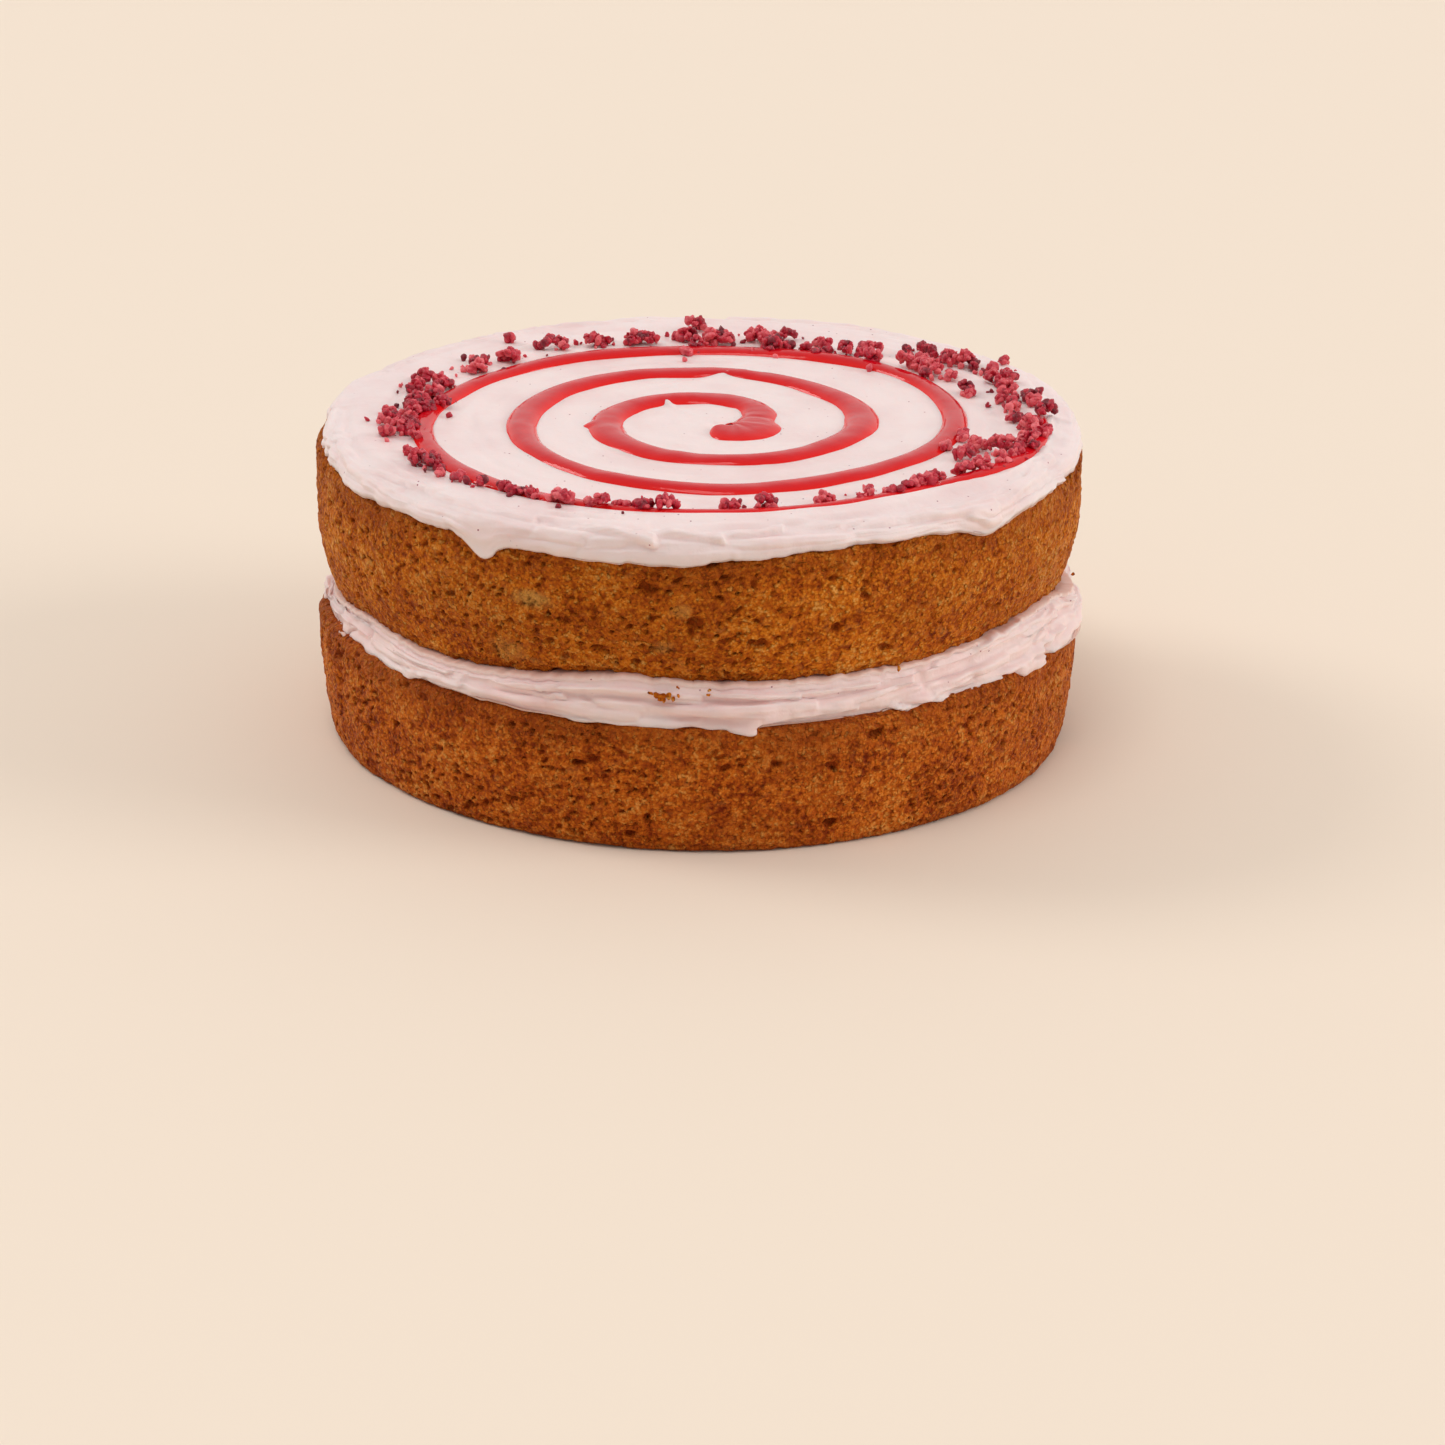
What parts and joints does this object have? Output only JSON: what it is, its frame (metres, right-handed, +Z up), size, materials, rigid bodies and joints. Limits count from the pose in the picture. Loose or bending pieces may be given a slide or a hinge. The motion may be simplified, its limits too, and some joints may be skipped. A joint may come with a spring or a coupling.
{
  "type": "naked cake",
  "caption": "Round naked layer cake: two golden sponges with cream between and on top, a jam spiral and a ring of raspberry crumbs.",
  "frame": {"origin": "middle of the foot of the lower sponge, on the surface that the cake stands on", "axes": "+Z up, -Y towards the pictured front, +X to the right in the picture"},
  "size_m": [0.194, 0.1945, 0.0859],
  "materials": {
    "sponge": "golden brown baked crust, matte and porous",
    "cream": "pale pink whipped cream, satin",
    "icing": "pale pink whipped icing, satin, with glossy red jam and matte dark red crumbs fused on",
    "jam": "clear red seedless jam, wet gloss",
    "raspberry": "freeze-dried raspberry pieces, matte and knobbly"
  },
  "bodies": {
    "root": {"sponge_lower": "sponge", "filling": "cream", "sponge_upper": "sponge", "icing": "icing"}
  },
  "joints": []
}
